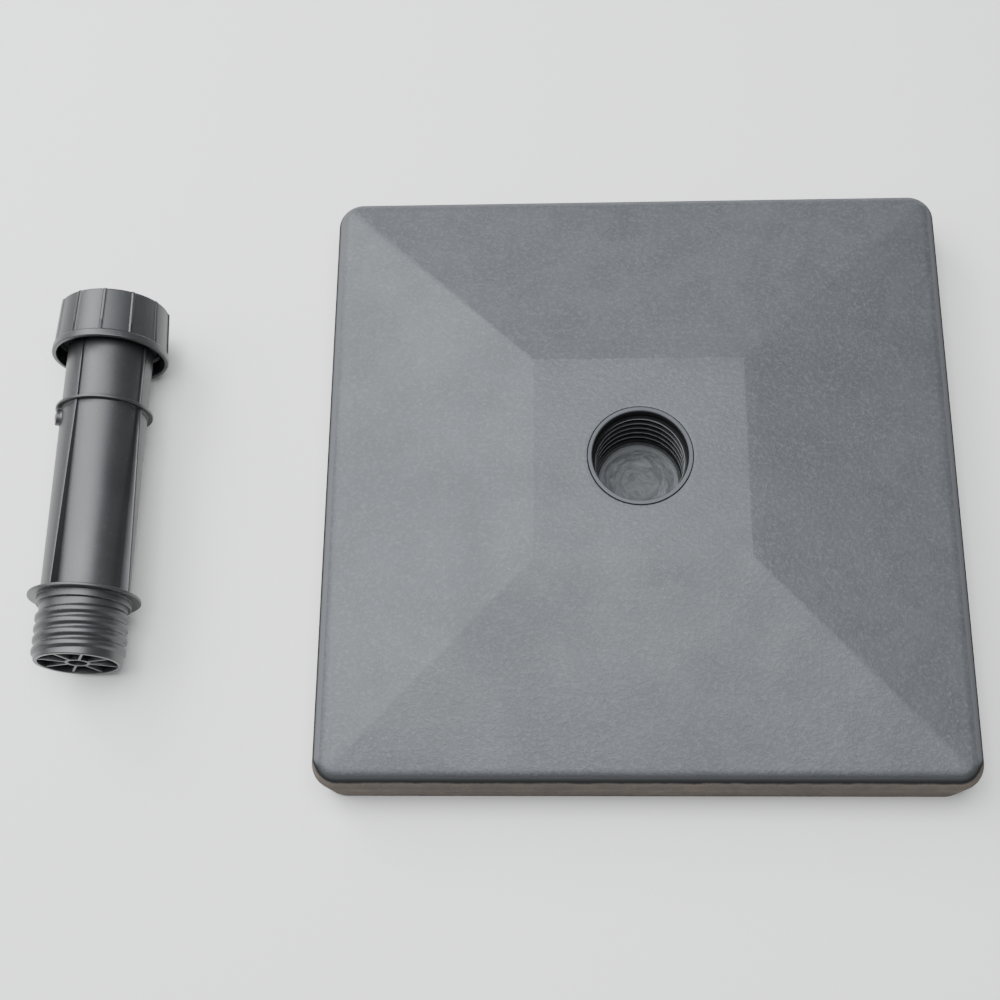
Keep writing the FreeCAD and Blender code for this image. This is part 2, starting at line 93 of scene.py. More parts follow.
# ---------------------------------------------------------------- mesh helpers
def soften(points, closed=True):
    """Round the corners of an outline of (a, b, radius) points; returns (a, b) points."""
    out = []
    n = len(points)
    for i, (a, b, r) in enumerate(points):
        p = Vector((a, b))
        if r <= 0 or (not closed and i in (0, n - 1)):
            out.append((a, b))
            continue
        before = Vector(points[i - 1][:2]) - p
        after = Vector(points[(i + 1) % n][:2]) - p
        room = min(before.length, after.length) * 0.49
        before.normalize()
        after.normalize()
        angle = before.angle(after)
        if angle > math.radians(178):
            out.append((a, b))
            continue
        reach = min(r / math.tan(angle / 2), room)
        r = reach * math.tan(angle / 2)
        centre = p + (before + after).normalized() * (r / math.sin(angle / 2))
        start = p + before * reach - centre
        end = p + after * reach - centre
        steps = max(2, int(math.degrees(math.pi - angle) / 6))
        for k in range(steps + 1):
            t = k / steps
            d = start.lerp(end, t)
            d.normalize()
            q = centre + d * r
            out.append((q.x, q.y))
    return out


def refine(points, zones):
    """Add points to an outline where zones (low, high, step) ask for them along b."""
    out = []
    for (a0, b0), (a1, b1) in zip(points, points[1:] + points[:1]):
        out.append((a0, b0))
        length = math.hypot(a1 - a0, b1 - b0)
        for low, high, step in zones:
            if min(b0, b1) < high and max(b0, b1) > low and length > step * 1.5:
                count = int(length / step)
                for k in range(1, count):
                    t = k / count
                    out.append((a0 + (a1 - a0) * t, b0 + (b1 - b0) * t))
                break
    return out


def new_object(name, verts, faces, sharp=40):
    """A mesh object, smooth but for the edges sharper than an angle in degrees."""
    mesh = bpy.data.meshes.new(name)
    mesh.from_pydata(verts, [], faces)
    mesh.update()
    for p in mesh.polygons:
        p.use_smooth = True
    mesh.set_sharp_from_angle(angle=math.radians(sharp))
    ob = bpy.data.objects.new(name, mesh)
    scene.collection.objects.link(ob)
    return ob


def lathe(profile, count, radius=None):
    """Verts and faces of a closed (r, z) outline turned about z, r changed by radius(r, z, angle)."""
    verts = []
    for r, z in profile:
        for i in range(count):
            a = 2 * math.pi * i / count
            q = radius(r, z, a) if radius else r
            verts.append((q * math.cos(a), q * math.sin(a), z))
    return verts, rings_to_faces(len(profile), count)


def rings_to_faces(rows, count):
    """Faces between rings of count points each, the last ring joined to the first."""
    faces = []
    for j in range(rows):
        k = (j + 1) % rows
        for i in range(count):
            m = (i + 1) % count
            faces.append((j * count + i, j * count + m, k * count + m, k * count + i))
    return faces


def slab(outline, thick, bevel=0.35):
    """A plate in the xz plane with softened rims: (x, z) outline, thickness along y."""
    verts, faces = [], []
    n = len(outline)
    centre = Vector((sum(p[0] for p in outline) / n, sum(p[1] for p in outline) / n))
    half, step = thick / 2, bevel * 0.3
    layers = ((-half, bevel), (-half + step, step), (-half + bevel, 0.0),
              (half - bevel, 0.0), (half - step, step), (half, bevel))
    for y, inset in layers:
        for i in range(n):
            p = Vector(outline[i])
            a = (p - Vector(outline[i - 1])).normalized()
            b = (Vector(outline[(i + 1) % n]) - p).normalized()
            na, nb = Vector((-a.y, a.x)), Vector((-b.y, b.x))
            mean = (na + nb).normalized()
            mean = mean / max(mean.dot(na), 0.3)
            if mean.dot(centre - p) < 0:
                mean = -mean
            q = p + mean * inset
            verts.append((q.x, y, q.y))
    for j in range(len(layers) - 1):
        for i in range(n):
            m = (i + 1) % n
            faces.append((j * n + i, (j + 1) * n + i, (j + 1) * n + m, j * n + m))
    faces.append(tuple(range(n)))
    faces.append(tuple(range((len(layers) - 1) * n, len(layers) * n))[::-1])
    return verts, faces


def turn(verts, degrees):
    """Turn verts about z."""
    c, s = math.cos(math.radians(degrees)), math.sin(math.radians(degrees))
    return [(x * c - y * s, x * s + y * c, z) for x, y, z in verts]


def merge(parts):
    """One list of verts and one of faces from several pairs of them."""
    verts, faces = [], []
    for v, f in parts:
        base = len(verts)
        verts += v
        faces += [tuple(i + base for i in face) for face in f]
    return verts, faces


def scaled(verts, matrix=None):
    """Millimetres to metres, and into place."""
    if matrix is None:
        return [(x * MM, y * MM, z * MM) for x, y, z in verts]
    return [tuple(matrix @ Vector((x * MM, y * MM, z * MM))) for x, y, z in verts]


def smooth(t):
    t = max(0.0, min(1.0, t))
    return t * t * (3 - 2 * t)


def ridge(phase, flat, flank):
    """Height 0..1 of a soft trapezoid ridge; phase in pitches from its middle."""
    d = abs((phase + 0.5) % 1.0 - 0.5)
    return 1.0 - smooth((d - flat / 2) / flank)


# ---------------------------------------------------------------- where the tube lies
turn_joint = next(j for j in record["behaviour"]["joints"] if j["name"] == "cap_turn")
tube_dir = Vector(turn_joint["axis"]).normalized()
tube_origin = Vector(turn_joint["pos_m"]) - tube_dir * CAP_JOINT_Z * MM
upright = (Vector((0, 0, 1)) - tube_dir * tube_dir.z).normalized()
sideways = tube_dir.cross(upright)
roll = math.radians(TUBE_ROLL)
fin_dir = upright * math.cos(roll) + sideways * math.sin(roll)
TUBE = Matrix((fin_dir, tube_dir.cross(fin_dir), tube_dir)).transposed().to_4x4()
TUBE.translation = tube_origin


# ---------------------------------------------------------------- materials
class Nodes:
    """A small node-tree writer."""

    def __init__(self, name):
        self.material = bpy.data.materials.new(name)
        self.material.use_nodes = True
        self.tree = self.material.node_tree
        self.tree.nodes.clear()
        self.out = self.add("ShaderNodeOutputMaterial")
        self.shader = self.add("ShaderNodeBsdfPrincipled")
        self.tree.links.new(self.shader.outputs[0], self.out.inputs[0])
        coords = self.add("ShaderNodeTexCoord")
        self.place = coords.outputs["Object"]

    def add(self, kind, **settings):
        node = self.tree.nodes.new(kind)
        for key, value in settings.items():
            setattr(node, key, value)
        return node

    def link(self, a, b):
        self.tree.links.new(a, b)

    def put(self, socket, value):
        if hasattr(value, "is_output"):
            self.link(value, socket)
        else:
            socket.default_value = value

    def stretch(self, scale):
        """The place on the object, scaled differently along each axis."""
        node = self.add("ShaderNodeMapping")
        self.link(self.place, node.inputs["Vector"])
        node.inputs["Scale"].default_value = scale
        return node.outputs[0]

    def noise(self, scale, detail=2.0, rough=0.5, place=None, distortion=0.0):
        node = self.add("ShaderNodeTexNoise")
        self.link(place or self.place, node.inputs["Vector"])
        node.inputs["Scale"].default_value = scale
        node.inputs["Detail"].default_value = detail
        node.inputs["Roughness"].default_value = rough
        node.inputs["Distortion"].default_value = distortion
        return node.outputs["Fac"]

    def cells(self, scale):
        node = self.add("ShaderNodeTexVoronoi", feature="F1")
        self.link(self.place, node.inputs["Vector"])
        node.inputs["Scale"].default_value = scale
        return node.outputs["Distance"]

    def ramp(self, value, low, high, to_low=0.0, to_high=1.0):
        """A soft step from to_low at low to to_high at high."""
        node = self.add("ShaderNodeMapRange", interpolation_type="SMOOTHSTEP")
        self.put(node.inputs["Value"], value)
        node.inputs["From Min"].default_value = low
        node.inputs["From Max"].default_value = high
        node.inputs["To Min"].default_value = to_low
        node.inputs["To Max"].default_value = to_high
        return node.outputs["Result"]

    def times(self, a, b):
        return self.math("MULTIPLY", a, b)

    def plus(self, a, b, clamp=False):
        return self.math("ADD", a, b, clamp)

    def math(self, operation, a, b=0.0, clamp=False):
        node = self.add("ShaderNodeMath", operation=operation, use_clamp=clamp)
        self.put(node.inputs[0], a)
        self.put(node.inputs[1], b)
        return node.outputs[0]

    def mix(self, factor, a, b):
        node = self.add("ShaderNodeMix", data_type="RGBA")
        self.put(node.inputs[0], factor)
        for socket, value in ((node.inputs[6], a), (node.inputs[7], b)):
            self.put(socket, value if hasattr(value, "is_output") else (*value, 1.0))
        return node.outputs[2]

    def axis(self, letter):
        node = self.add("ShaderNodeSeparateXYZ")
        self.link(self.place, node.inputs[0])
        return node.outputs[letter]

    def finish(self, colour, roughness, heights, specular=0.5, metallic=0.0):
        """Fill the shader; heights is a list of (value, distance in metres) for the bumps."""
        self.put(self.shader.inputs["Base Color"], colour)
        self.put(self.shader.inputs["Roughness"], roughness)
        self.shader.inputs["Specular IOR Level"].default_value = specular
        self.shader.inputs["Metallic"].default_value = metallic
        normal = None
        for value, distance in heights:
            bump = self.add("ShaderNodeBump")
            self.put(bump.inputs["Height"], value)
            bump.inputs["Distance"].default_value = distance
            bump.inputs["Strength"].default_value = 1.0
            if normal is not None:
                self.link(normal, bump.inputs["Normal"])
            normal = bump.outputs[0]
        if normal is not None:
            self.link(normal, self.shader.inputs["Normal"])
        return self.material


# heights in metres of the painted shade on the eave and of the painted brown ground reflection on the walls;
# on the near side of the base both reach higher than on the others
FRONT_Y, NOT_FRONT_Y = -0.212, -0.204
EAVE_SHADE_START, EAVE_SHADE_FULL = 0.0486, 0.0460
GROUND_REFLECTION_FULL, GROUND_REFLECTION_EDGE = 0.0418, 0.0436
BAND_BLACK, BAND_PALE = 0.0440, 0.0466


def above_front(n, lift):
    """The height, read as higher by lift on every side but the front."""
    return n.plus(n.axis("Z"), n.ramp(n.axis("Y"), FRONT_Y, NOT_FRONT_Y, 0.0, lift))


def shell_plastic():
    """Grained dark-grey moulded shell, a little scuffed, with painted shade blackening its eave."""
    n = Nodes("shell_plastic")
    cloud = n.noise(5.0, 4.0, 0.55)
    patch = n.noise(38.0, 3.0, 0.6)
    leather = n.noise(330.0, 3.0, 0.62, n.stretch((1.0, 1.2, 1.2)), 0.4)
    fine = n.noise(700.0, 2.0, 0.6)
    colour = n.mix(n.ramp(cloud, 0.35, 0.65), (0.0455, 0.0488, 0.0543), (0.0552, 0.0575, 0.0612))
    colour = n.mix(n.times(n.ramp(patch, 0.42, 0.62), 0.45), colour, (0.0379, 0.0400, 0.0437))
    colour = n.mix(n.times(n.ramp(leather, 0.46, 0.70), 0.55), colour, (0.0874, 0.0909, 0.0966))
    colour = n.mix(n.times(n.ramp(fine, 0.50, 0.72), 0.35), colour, (0.0920, 0.0943, 0.0989))
    # pale flecks where the grain's tips are rubbed
    flecks = n.ramp(n.noise(560.0, 1.0, 0.5), 0.64, 0.72)
    rubbed = n.ramp(n.noise(22.0, 3.0, 0.6), 0.46, 0.70)
    flecks = n.times(flecks, rubbed)
    colour = n.mix(n.times(flecks, 0.35), colour, (0.1725, 0.1725, 0.1725))
    # short scuffs
    scratch = n.ramp(n.noise(9.0, 6.0, 0.75, n.stretch((1.0, 14.0, 1.0)), 0.6), 0.68, 0.73)
    colour = n.mix(n.times(scratch, 0.18), colour, (0.1610, 0.1610, 0.1725))
    # painted shade: the eave is painted near black, starting lower down on every side but the front
    eave = n.ramp(above_front(n, 0.0036), EAVE_SHADE_START, EAVE_SHADE_FULL)
    colour = n.mix(n.times(eave, 0.92), colour, (0.0138, 0.0138, 0.0145))
    rough = n.ramp(n.noise(14.0, 3.0, 0.5), 0.3, 0.7, 0.52, 0.60)
    rough = n.plus(rough, n.times(eave, 0.08))
    grain = n.noise(1150.0, 3.0, 0.6)
    return n.finish(colour, rough, [(leather, 0.00030), (grain, 0.00010), (cloud, 0.0002)], 0.70)


def shell_walls_painted_light():
    """The same plastic on the side walls, under an uneven matt coat of painted brown ground reflection, with
    painted shade on the eave above it.
    """
    n = Nodes("shell_walls_painted_light")
    cloud = n.noise(7.0, 4.0, 0.6)
    blotches = n.noise(70.0, 4.0, 0.65, n.stretch((1.0, 1.0, 0.6)))
    fine_mottle = n.noise(480.0, 3.0, 0.65)
    plastic = n.mix(n.ramp(fine_mottle, 0.45, 0.70), (0.040, 0.0412, 0.0432), (0.062, 0.0632, 0.0652))
    # painted reflection of the brown ground, mottled
    ground_reflection = n.mix(n.ramp(cloud, 0.32, 0.68), (0.134, 0.1110, 0.0935), (0.146, 0.1220, 0.1035))
    ground_reflection = n.mix(n.times(n.ramp(fine_mottle, 0.50, 0.72), 0.45), ground_reflection, (0.070, 0.0590, 0.0500))
    # where the painted ground reflection covers the plastic, fuller towards the ground
    ground_reflection_mask = n.plus(n.ramp(blotches, 0.36, 0.70, 0.64, 0.86), n.ramp(cloud, 0.30, 0.70, -0.05, 0.05))
    ground_reflection_mask = n.plus(ground_reflection_mask, n.ramp(n.axis("Z"), 0.024, 0.004, 0.0, 0.12), True)
    colour = n.mix(ground_reflection_mask, plastic, ground_reflection)
    # the painted ground reflection climbs higher on the front than on the other sides
    height = above_front(n, 0.0032)
    uneven = n.plus(height, n.ramp(blotches, 0.3, 0.7, -0.0004, 0.0004))
    reflection_free = n.ramp(uneven, GROUND_REFLECTION_FULL, GROUND_REFLECTION_EDGE)
    # painted shade: above the painted ground reflection the eave is painted black, and pales towards the
    # slopes, sooner on the other sides
    pale = n.ramp(n.axis("Y"), FRONT_Y, NOT_FRONT_Y)
    pale = n.mix(pale, (0.0540, 0.0545, 0.0560), (0.110, 0.112, 0.116))
    black = n.mix(n.ramp(height, BAND_BLACK, BAND_PALE), (0.0200, 0.0198, 0.0205), pale)
    colour = n.mix(reflection_free, colour, black)
    rough = n.ramp(fine_mottle, 0.3, 0.7, 0.82, 0.95)
    return n.finish(colour, rough, [(fine_mottle, 0.00022), (blotches, 0.00030)], 0.06)


def insert_plastic():
    """Smooth black moulding; dust has settled on the floor of the well and on the rim."""
    n = Nodes("insert_plastic")
    cloud = n.noise(30.0, 4.0, 0.6)
    wall = n.mix(n.ramp(cloud, 0.35, 0.65), (0.0070, 0.0072, 0.0078), (0.0120, 0.0123, 0.0130))
    level = n.axis("Z")
    x, y = n.axis("X"), n.axis("Y")
    radius = n.math("SQRT", n.plus(n.times(x, x), n.times(y, y)))
    # arcs left by the moulding tool and by the foot turning in it
    ringed = n.add("ShaderNodeCombineXYZ")
    n.link(radius, ringed.inputs[0])
    n.link(n.times(x, 0.25), ringed.inputs[1])
    n.link(n.times(y, 0.25), ringed.inputs[2])
    arcs = n.noise(300.0, 4.0, 0.66, ringed.outputs[0], 0.8)
    smear = n.noise(90.0, 4.0, 0.65, None, 1.2)
    marks = n.mix(n.ramp(radius, 0.016, 0.008), arcs, smear)
    # painted highlight: the thread crests are painted pale
    crest_highlight = n.times(n.ramp(radius, 0.03155, 0.03110), n.ramp(level, 0.0270, 0.0290))
    wall = n.mix(n.times(crest_highlight, 0.85), wall, (0.240, 0.244, 0.250))
    # painted shade: the ledge at the bottom of the mouth is painted near black
    ledge = n.times(n.ramp(level, 0.0655, 0.0663), n.ramp(level, 0.0690, 0.0682))
    ledge = n.times(ledge, n.ramp(radius, 0.0313, 0.0318))
    wall = n.mix(ledge, wall, (0.0040, 0.0040, 0.0042))
    floor = n.ramp(level, 0.0262, 0.0250)
    dusty = n.mix(n.ramp(marks, 0.34, 0.68), (0.050, 0.0515, 0.0540), (0.112, 0.1145, 0.1180))
    dusty = n.mix(n.times(n.ramp(smear, 0.54, 0.64), 0.5), dusty, (0.036, 0.036, 0.0365))
    # the coved edge of the floor holds the palest dust
    cove = n.times(n.ramp(radius, 0.0250, 0.0268), n.ramp(radius, 0.0292, 0.0284))
    dusty = n.mix(n.times(cove, 0.6), dusty, (0.150, 0.153, 0.157))
    # and the corner under the wall is darker
    dusty = n.mix(n.ramp(radius, 0.0286, 0.0294), dusty, (0.0090, 0.0092, 0.0098))
    colour = n.mix(floor, wall, dusty)
    rim = n.ramp(level, 0.0745, 0.0762)
    greyed = n.mix(n.ramp(cloud, 0.3, 0.7), (0.066, 0.069, 0.0745), (0.082, 0.085, 0.0905))
    colour = n.mix(rim, colour, greyed)
    matt = n.plus(n.times(floor, 0.12), n.times(rim, 0.14))
    matt = n.plus(matt, n.times(ledge, 0.5))
    rough = n.plus(n.ramp(n.noise(60.0, 3.0, 0.5), 0.3, 0.7, 0.38, 0.46), matt)
    tooled = n.times(marks, floor)
    fine = n.noise(800.0, 2.0, 0.5)
    return n.finish(colour, rough, [(fine, 0.00005), (tooled, 0.0005)], 0.28)


def tube_plastic():
    """Smooth black moulding: satin, with faint flow marks and handling smears."""
    n = Nodes("tube_plastic")
    streak = n.noise(26.0, 4.0, 0.6, n.stretch((1.0, 0.12, 1.0)))
    cloud = n.noise(18.0, 4.0, 0.6)
    colour = n.mix(n.ramp(cloud, 0.35, 0.65), (0.0130, 0.0133, 0.0140), (0.0187, 0.0190, 0.0198))
    colour = n.mix(n.times(n.ramp(streak, 0.52, 0.75), 0.35), colour, (0.0312, 0.0317, 0.0333))
    specks = n.ramp(n.noise(1100.0, 1.0, 0.5), 0.68, 0.76)
    colour = n.mix(n.times(specks, 0.4), colour, (0.1300, 0.1300, 0.1352))
    rough = n.plus(n.ramp(cloud, 0.3, 0.7, 0.39, 0.45), n.ramp(streak, 0.4, 0.8, 0.0, 0.05))
    fine = n.noise(700.0, 2.0, 0.5)
    return n.finish(colour, rough, [(fine, 0.00002), (streak, 0.0001), (cloud, 0.0002)], 0.82)


def dark_plastic():
    """Inner moulding: black, even, slightly glossy."""
    n = Nodes("collet_plastic")
    cloud = n.noise(45.0, 3.0, 0.6)
    colour = n.mix(n.ramp(cloud, 0.35, 0.65), (0.017, 0.017, 0.018), (0.026, 0.026, 0.027))
    rough = n.ramp(n.noise(90.0, 2.0, 0.5), 0.3, 0.7, 0.38, 0.5)
    return n.finish(colour, rough, [(n.noise(900.0, 2.0, 0.5), 0.00003)], 0.45)


def rubber(name, tone):
    """Matt rubber with dust caught in it; tone is its darkest grey."""
    n = Nodes(name)
    cloud = n.noise(60.0, 4.0, 0.65)
    colour = n.mix(n.ramp(cloud, 0.35, 0.68), (tone, tone, tone), (tone * 1.9, tone * 1.8, tone * 1.7))
    dust = n.ramp(n.noise(500.0, 2.0, 0.6), 0.60, 0.74)
    colour = n.mix(n.times(dust, 0.3), colour, (0.06, 0.055, 0.05))
    rough = n.ramp(cloud, 0.3, 0.7, 0.72, 0.86)
    return n.finish(colour, rough, [(n.noise(1400.0, 3.0, 0.6), 0.00009)], 0.3)


def screw_metal(name, tone):
    """Turned metal with stains; tone is its bright grey."""
    n = Nodes(name)
    swirl = n.noise(900.0, 3.0, 0.6, n.stretch((1.0, 1.0, 0.1)))
    stain = n.noise(160.0, 4.0, 0.6)
    stained = (tone * 0.72, tone * 0.70, tone * 0.66)
    colour = n.mix(n.ramp(stain, 0.4, 0.7), (tone, tone, tone * 1.02), stained)
    rough = n.plus(n.ramp(swirl, 0.3, 0.7, 0.26, 0.36), n.ramp(stain, 0.45, 0.75, 0.0, 0.2))
    return n.finish(colour, rough, [(swirl, 0.00003)], 0.5, 1.0)


def concrete():
    """Cast concrete with sand and small air holes."""
    n = Nodes("concrete")
    cloud = n.noise(12.0, 5.0, 0.65)
    sand = n.noise(620.0, 3.0, 0.65)
    colour = n.mix(n.ramp(cloud, 0.3, 0.7), (0.26, 0.25, 0.235), (0.34, 0.33, 0.31))
    colour = n.mix(n.times(n.ramp(sand, 0.5, 0.7), 0.4), colour, (0.45, 0.43, 0.40))
    holes = n.ramp(n.cells(95.0), 0.05, 0.16)
    solid = n.math("SUBTRACT", 1.0, holes)
    colour = n.mix(n.times(solid, 0.6), colour, (0.13, 0.12, 0.11))
    rough = n.ramp(sand, 0.3, 0.7, 0.84, 0.96)
    return n.finish(colour, rough, [(sand, 0.0004), (holes, 0.0008)], 0.3)


def floor_material():
    """Plain, pale and matt."""
    n = Nodes("pale_floor")
    cloud = n.noise(1.1, 2.0, 0.5)
    colour = n.mix(n.ramp(cloud, 0.3, 0.7), (0.850, 0.832, 0.806), (0.860, 0.842, 0.816))
    return n.finish(colour, 0.9, [], 0.1)


# the walls' material, with painted brown ground reflection and painted shade on the eave
walls_painted_light = shell_walls_painted_light()
looks = {
    "shell_plastic": shell_plastic(),
    "insert_plastic": insert_plastic(),
    "concrete": concrete(),
    "seal_rubber": rubber("seal_rubber", 0.012),
    "pad_rubber": rubber("pad_rubber", 0.015),
    "screw_steel": screw_metal("screw_steel", 0.62),
    "tube_plastic": tube_plastic(),
    "collet_plastic": dark_plastic(),
    "screw_dark": screw_metal("screw_dark", 0.16),
}


def dress(ob, slot):
    """Give an object one material."""
    ob.data.materials.clear()
    ob.data.materials.append(looks[slot])


# ---------------------------------------------------------------- CAD nodes that stay
for part in record["subparts"]:
    node, slot = part["node"], part["material_slot"]
    ob = frame["nodes"][node]
    # the bottom tray wears the walls' material, with painted brown ground reflection and painted shade
    look = walls_painted_light if node == "bottom_tray" else looks[slot]
    for s in ob.material_slots:
        s.material = look
    if not ob.material_slots:
        ob.data.materials.append(look)
    if node not in ("concrete_core", "tray_screws"):
        bevel = ob.modifiers.new("soft edges", "BEVEL")
        bevel.width = 0.35 * MM
        bevel.segments = 2
        bevel.limit_method = "ANGLE"
        bevel.angle_limit = math.radians(50)
        bevel.harden_normals = False
        bevel.use_clamp_overlap = True


# ---------------------------------------------------------------- top shell
def square_ring(half, corner, z, line=26, arc=14):
    """Points round a square with rounded corners, and the direction each one faces."""
    pts = []
    a = half - corner
    for side in range(4):
        c, s = (1, 0, -1, 0)[side], (0, 1, 0, -1)[side]
        local = [(half, -a + 2 * a * (0.5 - 0.5 * math.cos(math.pi * k / line))) for k in range(line)]
        local += [(a + corner * math.cos(t), a + corner * math.sin(t))
                  for t in (math.pi / 2 * k / arc for k in range(arc))]
        pts += [(x * c - y * s, x * s + y * c, z) for x, y in local]
    return pts


def circle_like(ring, radius, z):
    """A circle with a point in the direction of each point of a ring."""
    out = []
    for x, y, _ in ring:
        k = radius / math.hypot(x, y)
        out.append((x * k, y * k, z))
    return out


def between(ring_a, ring_b, t):
    """The ring at a share t of the way from one to the other."""
    return [tuple(p + (q - p) * t for p, q in zip(a, b)) for a, b in zip(ring_a, ring_b)]


def wall(z):
    """Half the side of the base's wall at a height."""
    return FLOOR_HALF + (EDGE_HALF - FLOOR_HALF) * z / EDGE_Z


def ridge_corner(half, z, low):
    """Rounding of the square at one row of the shell: small on the ridges, full at the eave and below."""
    corner = CORNER_R
    if half < CROWN_HALF:
        corner = RIDGE_CORNER_R
    elif z >= EDGE_Z - 15:
        t = max(0.0, min(1.0, (half - CROWN_HALF) / (EDGE_HALF - CROWN_HALF)))
        ridge_r = RIDGE_CORNER_R + RIDGE_WIDENING * t
        corner = ridge_r + (CORNER_R - RIDGE_CORNER_R - RIDGE_WIDENING) * smooth((t - 0.90) / 0.095)
    inside_lip = z <= low + 1e-6 and half < wall(low) - 1.5
    return max(1.0, corner - (WALL_T if inside_lip else 0.0))


def build_top_shell():
    # outline of the outside, from the plateau out and down: (half side, z, rounding)
    low = PARTING_Z + 0.2
    outline = soften([
        (52.0, CROWN_Z, 0), (CROWN_HALF, CROWN_Z, 4.0), (EDGE_HALF, EDGE_Z, EAVE_R),
        (wall(low), low, 0.5), (wall(low) - WALL_T, low, 0),
    ], closed=False)
    dense = []
    for (a0, b0), (a1, b1) in zip(outline, outline[1:]):
        dense.append((a0, b0))
        steps = int(math.hypot(a1 - a0, b1 - b0) / 9.0)
        for k in range(1, steps):
            dense.append((a0 + (a1 - a0) * k / steps, b0 + (b1 - b0) * k / steps))
    dense.append(outline[-1])
    slopes = [square_ring(half, ridge_corner(half, z, low), z) for half, z in dense]
    first = slopes[0]
    # from the socket's hole, over its rounded rim: (clearance round the insert's rim, depth)
    rim = ((0.32, 3.0), (0.32, 0.9), (0.42, 0.35), (0.72, 0.06), (1.1, 0.0))
    inner = [circle_like(first, RIM_R + gap, CROWN_Z - depth) for gap, depth in rim]
    start = inner[-1]
    # and out to the first square ring
    inner += [between(start, first, k / 6) for k in range(1, 6)]
    # the inside, back up to the hole
    under = [
        square_ring(wall(low) - WALL_T - 0.2, CORNER_R - WALL_T, 38.0),
        square_ring(wall(46) - 8.0, CORNER_R - 6.0, 43.5),
        square_ring(CROWN_HALF, 4.0, CROWN_Z - WALL_T - 0.1),
        circle_like(first, RIM_R + 6.0, CROWN_Z - WALL_T),
    ]
    rings = inner + slopes + under
    verts = []
    for j, ring in enumerate(rings):
        for x, y, z in ring:
            if len(rim) < j < len(rings) - len(under) - 1:
                # the moulding isn't perfectly flat
                reach = max(abs(x), abs(y))
                ease = smooth((212 - reach) / 40) * smooth((math.hypot(x, y) - 38) / 18)
                z += UNEVENNESS * ease * noise.noise(Vector((x * 0.013, y * 0.013, 3.7)))
            verts.append((x, y, z))
    faces = rings_to_faces(len(rings), len(first))
    return new_object("top_shell_form", scaled(verts), [f[::-1] for f in faces], 38)


# ---------------------------------------------------------------- socket insert
def build_insert():
    top, floor = CROWN_Z, WELL_FLOOR_Z
    ledge = top - MOUTH_DEPTH - MOUTH_LEDGE
    outline = soften([
        (WELL_FLOOR_R - 2.2, floor, 0.6), (WELL_FLOOR_R, floor + 1.6, 0.5),
        (WELL_CREST_R, floor + 1.7, 0.3), (WELL_CREST_R, ledge, 0.5), (MOUTH_R, top - MOUTH_DEPTH, 0.4),
        (MOUTH_R, top - 0.2, 0.4), (MOUTH_R + 0.6, top + 0.5, 0.4), (RIM_R - 0.1, top + 0.45, 0.5),
        (RIM_R - 0.1, RIM_LOW, 0), (INSERT_R, RIM_LOW, 0), (INSERT_R, INSERT_LOW, 1.0),
        (FLOOR_HOLE_R, INSERT_LOW, 0), (FLOOR_HOLE_R, floor, 0),
    ])
    outline = refine(outline, [(floor + 2.0, top - MOUTH_DEPTH + 2, 0.42), (floor - 0.1, floor + 0.1, 1.5)])
    depth = WELL_ROOT_R - WELL_CREST_R

    def radius(r, z, a):
        # the groove is cut only between the floor's cove and the mouth
        if r > MOUTH_R - 0.2 or z < floor + 1.9:
            return r
        turns = (z - GROOVE_LOW) / FOOT_PITCH - (a - math.radians(GROOVE_TURN)) / (2 * math.pi)
        open_ = 1.0 - ridge(turns + 0.5, 0.12, 0.19)
        fade = smooth((z - (floor + 1.9)) / 2.0)
        return max(r, WELL_CREST_R + depth * open_ * fade)

    verts, faces = lathe(outline, AROUND, radius)
    # close the small holes at the middle of the floor, above and below
    centre_rows = [i for i, (r, _) in enumerate(outline) if r < FLOOR_HOLE_R + 0.001]
    # without the strip that joins them inside the floor
    inside = [row for row in centre_rows if (row + 1) % len(outline) in centre_rows]
    faces = [f for f in faces if f[0] // AROUND not in inside]
    for row in centre_rows:
        first = row * AROUND
        z = outline[row][1]
        middle = len(verts)
        verts.append((0, 0, z))
        for i in range(AROUND):
            f = (first + i, first + (i + 1) % AROUND, middle)
            faces.append(f if z > floor - 1 else f[::-1])
    return new_object("socket_insert_form", scaled(verts), faces, 40)


# ---------------------------------------------------------------- stand tube
def run_out(turns, share, length):
    """Height 0..1 of a thread along its path; both ends run out over a tenth of a turn."""
    path = math.floor(turns + 0.5) + share
    start = smooth((path + THREAD_RUNOUT) / THREAD_RUNOUT)
    end = smooth((length + THREAD_RUNOUT - path) / THREAD_RUNOUT)
    return start * end


